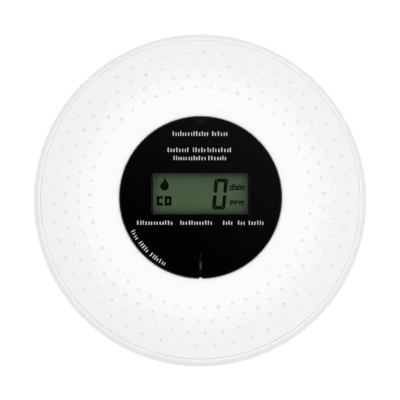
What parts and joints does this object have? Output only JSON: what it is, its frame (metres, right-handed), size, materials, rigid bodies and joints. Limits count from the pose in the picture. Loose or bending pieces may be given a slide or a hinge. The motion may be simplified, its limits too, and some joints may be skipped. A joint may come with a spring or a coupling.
{
  "type": "carbon monoxide detector",
  "caption": "Round battery smoke and carbon monoxide alarm with a domed dimpled cover, black press-to-test display panel and twist-lock wall bracket.",
  "frame": {"origin": "centre of the bracket's back face, which lies against the wall or ceiling", "axes": "+Z out of the front along the alarm's axis, +Y towards the top of the display, +X to the right as the display is read"},
  "size_m": [0.132, 0.132, 0.036],
  "materials": {
    "white_cover": "fine moulded texture, satin",
    "white_bracket": "moulded, matt",
    "black_panel": "polished",
    "black_part": "moulded, matt",
    "clear_part": "polished, clear",
    "lcd": "polarised glass, grey-green",
    "board": "green solder resist",
    "steel": "bright nickel plating",
    "brass": "bright",
    "cell_sleeve": "printed film sleeve",
    "red_lens": "clear tinted resin",
    "pale_part": "moulded, matt",
    "label": "silver-grey film label, blank",
    "rubber": "moulded"
  },
  "bodies": {
    "bracket": {"mounting_bracket": "white_bracket"},
    "alarm": {"rear_housing": "white_cover", "front_cover": "white_cover", "circuit_board": "board", "lcd_frame": "black_part", "lcd_glass": "lcd", "lcd_backlight": "pale_part", "lcd_connector_strip": "rubber", "test_switch": "black_part", "led_smoke": "red_lens", "led_status": "pale_part", "microcontroller": "black_part", "capacitor": "black_part", "smoke_chamber_cap": "black_part", "smoke_chamber_base": "black_part", "insect_screen": "steel", "infrared_emitter": "clear_part", "photodiode": "clear_part", "co_sensor_body": "pale_part", "co_sensor_cap": "steel", "horn_resonator": "black_part", "piezo_disc": "brass", "rating_label": "label", "return_spring_1": "steel", "return_spring_2": "steel", "return_spring_3": "steel", "board_screw_1": "steel", "housing_screw_1": "steel", "board_screw_2": "steel", "housing_screw_2": "steel", "board_screw_3": "steel", "housing_screw_3": "steel", "board_screw_4": "steel", "housing_screw_4": "steel", "horn_contact_1": "brass", "battery_cell_1": "cell_sleeve", "contact_plate_1": "steel", "contact_spring_1": "steel", "horn_contact_2": "brass", "battery_cell_2": "cell_sleeve", "contact_plate_2": "steel", "contact_spring_2": "steel"},
    "test_button": {"display_panel": "black_panel", "display_window": "clear_part", "light_guide_upper": "clear_part", "light_guide_lower": "clear_part", "button_carrier": "black_part", "switch_stem": "black_part"},
    "battery_door": {"battery_door": "white_cover"}
  },
  "joints": [
    {"name": "bracket_twist", "type": "hinge", "parent": "bracket", "child": "alarm", "pos_m": [0, 0, 0], "axis": [0, 0, 1], "range_deg": [0, 15]},
    {"name": "test_button_press", "type": "slide", "parent": "alarm", "child": "test_button", "axis": [0, 0, -1], "range_m": [0, 0.0008], "stiffness_N_per_m": 3000, "springref_m": -0.0005, "deforming": ["return_spring_1", "return_spring_2", "return_spring_3"]},
    {"name": "battery_door_hinge", "type": "hinge", "parent": "alarm", "child": "battery_door", "pos_m": [0, 0.0015, 0.0063], "axis": [1, 0, 0], "range_deg": [0, 105]}
  ]
}
